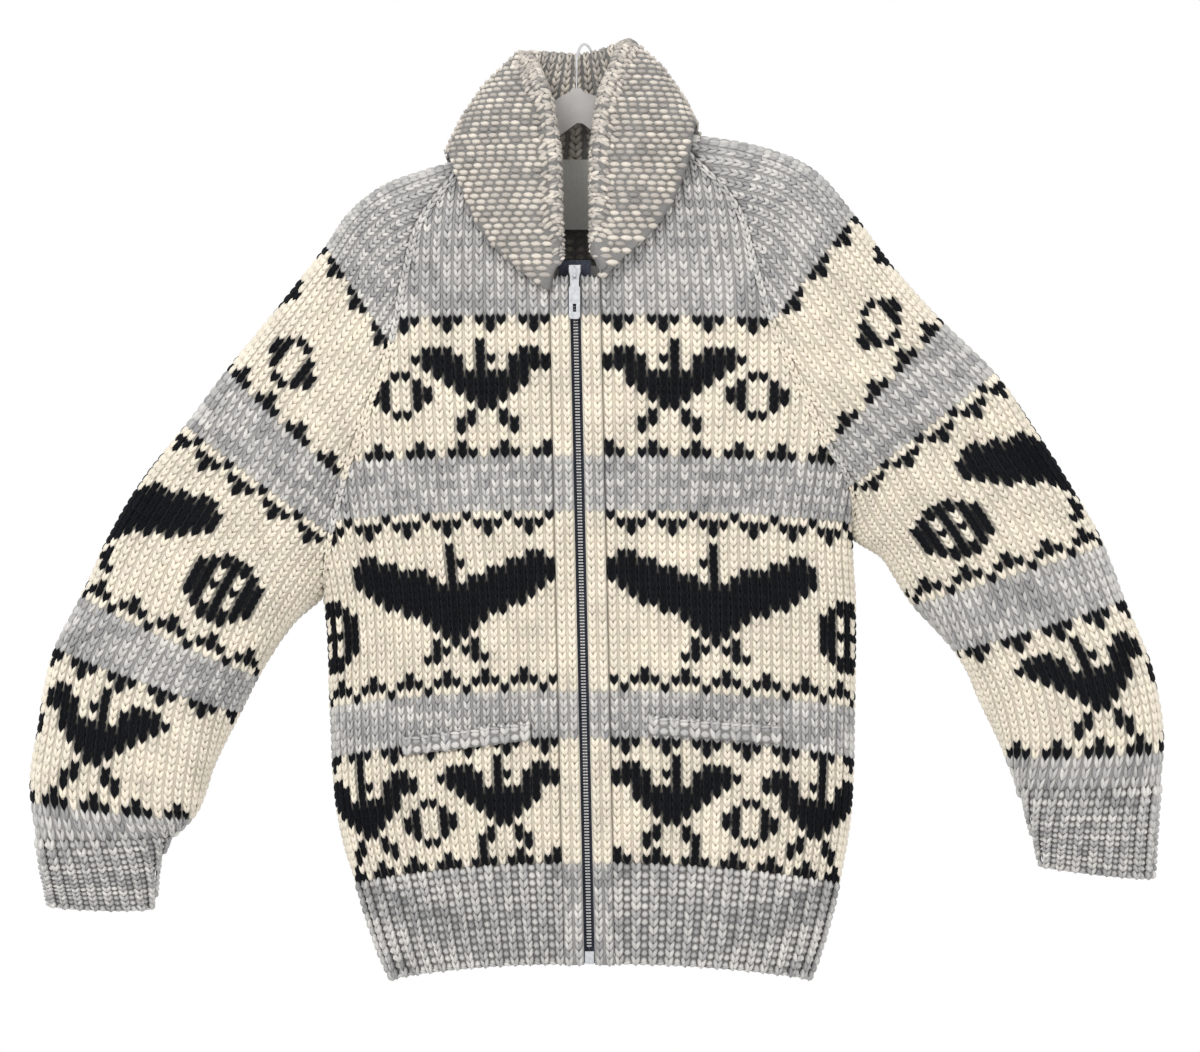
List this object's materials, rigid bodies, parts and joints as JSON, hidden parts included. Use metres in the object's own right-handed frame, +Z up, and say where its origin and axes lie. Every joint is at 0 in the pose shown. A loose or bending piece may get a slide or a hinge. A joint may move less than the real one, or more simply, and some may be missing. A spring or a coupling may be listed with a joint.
{
  "type": "cowichan sweater on a hanger",
  "caption": "Bulky hand-knit zip cardigan with bird and diamond bands, raglan sleeves and a shawl collar, hanging open at the neck on a plastic coat hanger.",
  "frame": {"origin": "inside top of the hanger's wire hook, where a rail or wall hook carries the weight", "axes": "+Z up, -Y out of the sweater's front, +X towards the right of somebody who looks at the front"},
  "size_m": [0.9889, 0.126, 0.8357],
  "materials": {
    "wool_cream": "matt wool",
    "wool_cream_right": "matt wool",
    "wool_back": "matt wool",
    "wool_sleeve_0": "matt wool",
    "wool_sleeve_2": "matt wool",
    "wool_grey": "matt wool",
    "wool_band_0": "matt wool",
    "wool_band_2": "matt wool",
    "wool_collar": "matt wool",
    "zip_tape": "woven",
    "zip_teeth": "satin",
    "zip_silver": "satin",
    "pull_silver": "satin",
    "label_cotton": "woven",
    "hanger_plastic": "smooth",
    "hook_steel": "bright"
  },
  "bodies": {
    "sweater": {"front_left": "wool_cream", "front_right": "wool_cream_right", "back": "wool_back", "sleeve_left": "wool_sleeve_0", "sleeve_right": "wool_sleeve_2", "cuff_left": "wool_grey", "cuff_right": "wool_grey", "hem_rib_left": "wool_grey", "hem_rib_right": "wool_grey", "hem_rib_back": "wool_grey", "front_band_left": "wool_band_0", "front_band_right": "wool_band_2", "pocket_welt_left": "wool_grey", "pocket_welt_right": "wool_grey", "collar": "wool_collar", "zip_tape_left": "zip_tape", "zip_tape_right": "zip_tape", "zip_teeth_left": "zip_teeth", "zip_teeth_right": "zip_teeth", "zip_box": "zip_silver", "slider": "zip_silver", "neck_label": "label_cotton", "hanger_frame": "hanger_plastic", "hanger_hook": "hook_steel"},
    "pull_tab": {"pull_tab": "pull_silver"}
  },
  "joints": [
    {"name": "pull_tab_hinge", "type": "hinge", "parent": "sweater", "child": "pull_tab", "pos_m": [-0.00928, -0.09605, -0.2126], "axis": [-1, 0, 0], "range_deg": [0, 115]}
  ]
}
